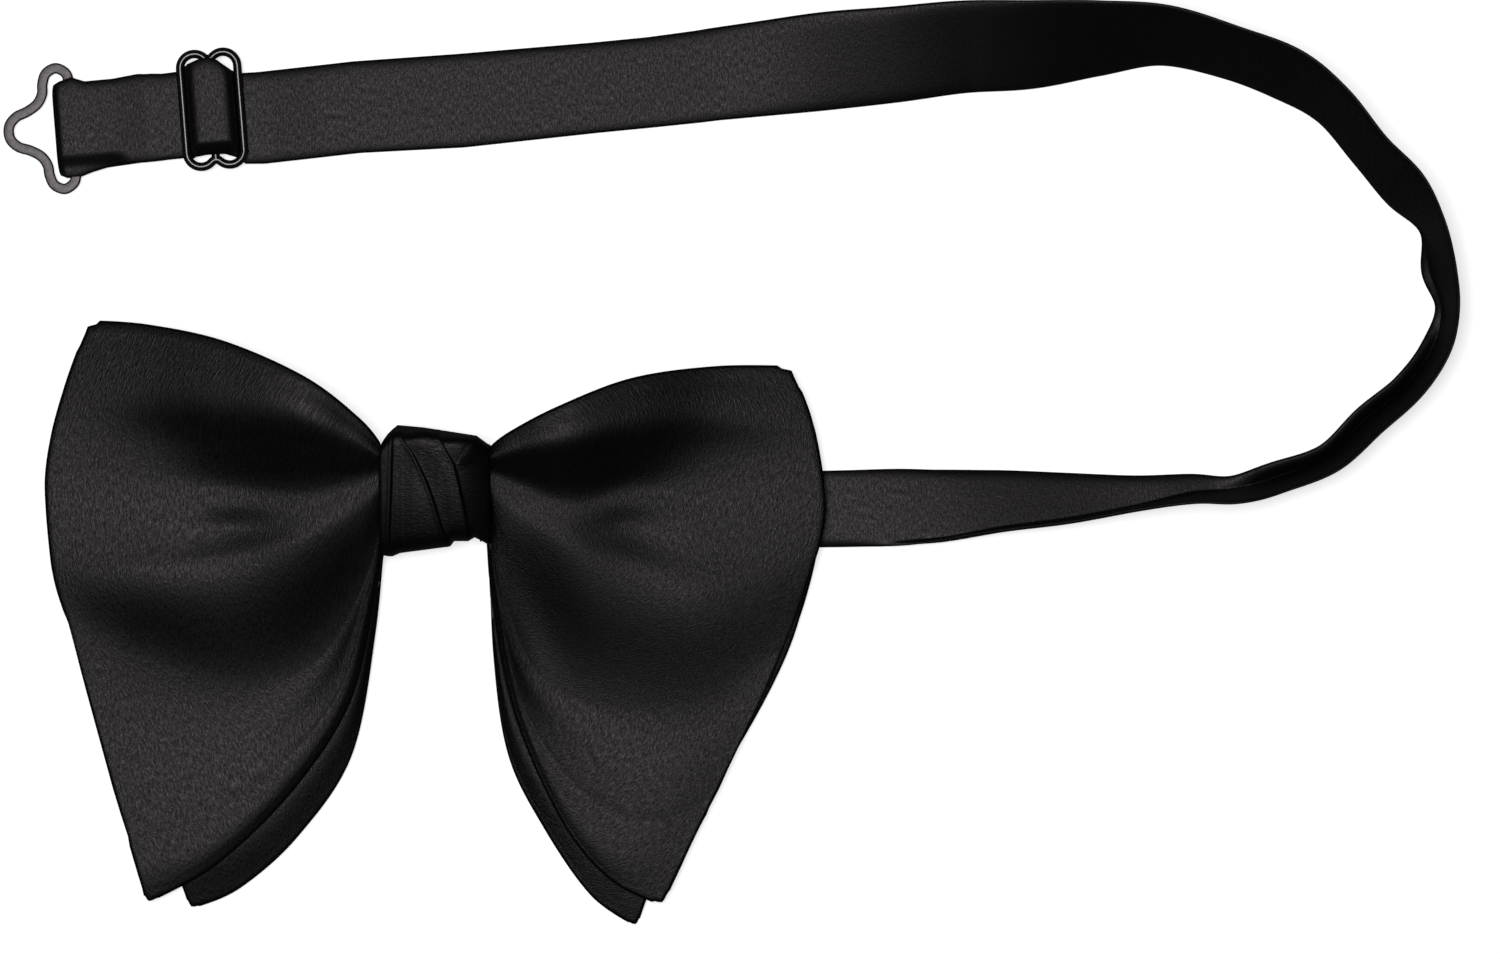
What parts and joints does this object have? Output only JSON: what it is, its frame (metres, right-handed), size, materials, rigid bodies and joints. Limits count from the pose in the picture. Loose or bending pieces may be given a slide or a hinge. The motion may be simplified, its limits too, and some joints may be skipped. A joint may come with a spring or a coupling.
{
  "type": "bow tie",
  "caption": "Pre-tied butterfly bow tie with a wrapped knot, on an adjustable neck band with a wire slider and a hook and eye fastening.",
  "frame": {"origin": "centre of the knot's flat back face", "axes": "+X towards the band's loop, along the bow; +Y towards the upper edge of the bow; +Z out of the bow's front"},
  "size_m": [0.3038, 0.1934, 0.0209],
  "materials": {
    "satin": "black polyester satin, soft sheen",
    "interlining": "matt woven interlining",
    "thread": "black sewing thread",
    "black_wire": "gloss black coating on steel wire",
    "gunmetal_plate": "black nickel plate on pressed steel"
  },
  "bodies": {
    "bow": {"front_bow_face": "satin", "front_bow_interlining": "interlining", "front_bow_backing": "satin", "rear_bow_face": "satin", "rear_bow_interlining": "interlining", "rear_bow_backing": "satin", "gathering_thread": "thread", "knot_padding": "interlining", "knot_wrap": "satin", "knot_pleats": "satin", "knot_stitches": "thread", "band_tack": "thread", "neck_band": "satin", "neck_band_interlining": "interlining", "tab_fold": "satin", "tab_stitches": "thread", "band_upper_run": "satin"},
    "slider": {"slider_wire": "black_wire", "slider_bar": "black_wire", "band_hump": "satin", "band_end_loop": "satin", "band_end_stitches": "thread"},
    "eye_fold": {"band_eye_fold": "satin", "band_left_run": "satin", "band_return_run": "satin"},
    "eye": {"eye_clip": "gunmetal_plate"},
    "hook": {"hook_clip": "gunmetal_plate"}
  },
  "joints": [
    {"name": "slider_travel", "type": "slide", "parent": "bow", "child": "slider", "axis": [0.9968, 0.0802, 0], "range_m": [-0.02, 0.06], "deforming": ["band_upper_run"]},
    {"name": "fold_follow", "type": "slide", "parent": "slider", "child": "eye_fold", "axis": [0.9968, 0.0802, 0], "range_m": [-0.03, 0.01], "deforming": ["band_left_run", "band_return_run"]},
    {"name": "eye_swing", "type": "hinge", "parent": "eye_fold", "child": "eye", "pos_m": [-0.07683, 0.076, 0.00178], "axis": [-0.0802, 0.9968, 0], "range_deg": [0, 120]},
    {"name": "hook_swing", "type": "hinge", "parent": "bow", "child": "hook", "pos_m": [-0.0405, 0, 0.00178], "axis": [0, -1, 0], "range_deg": [0, 100]}
  ],
  "couplings": [
    {"joint": "fold_follow", "follows": "slider_travel", "ratio": -0.5}
  ]
}
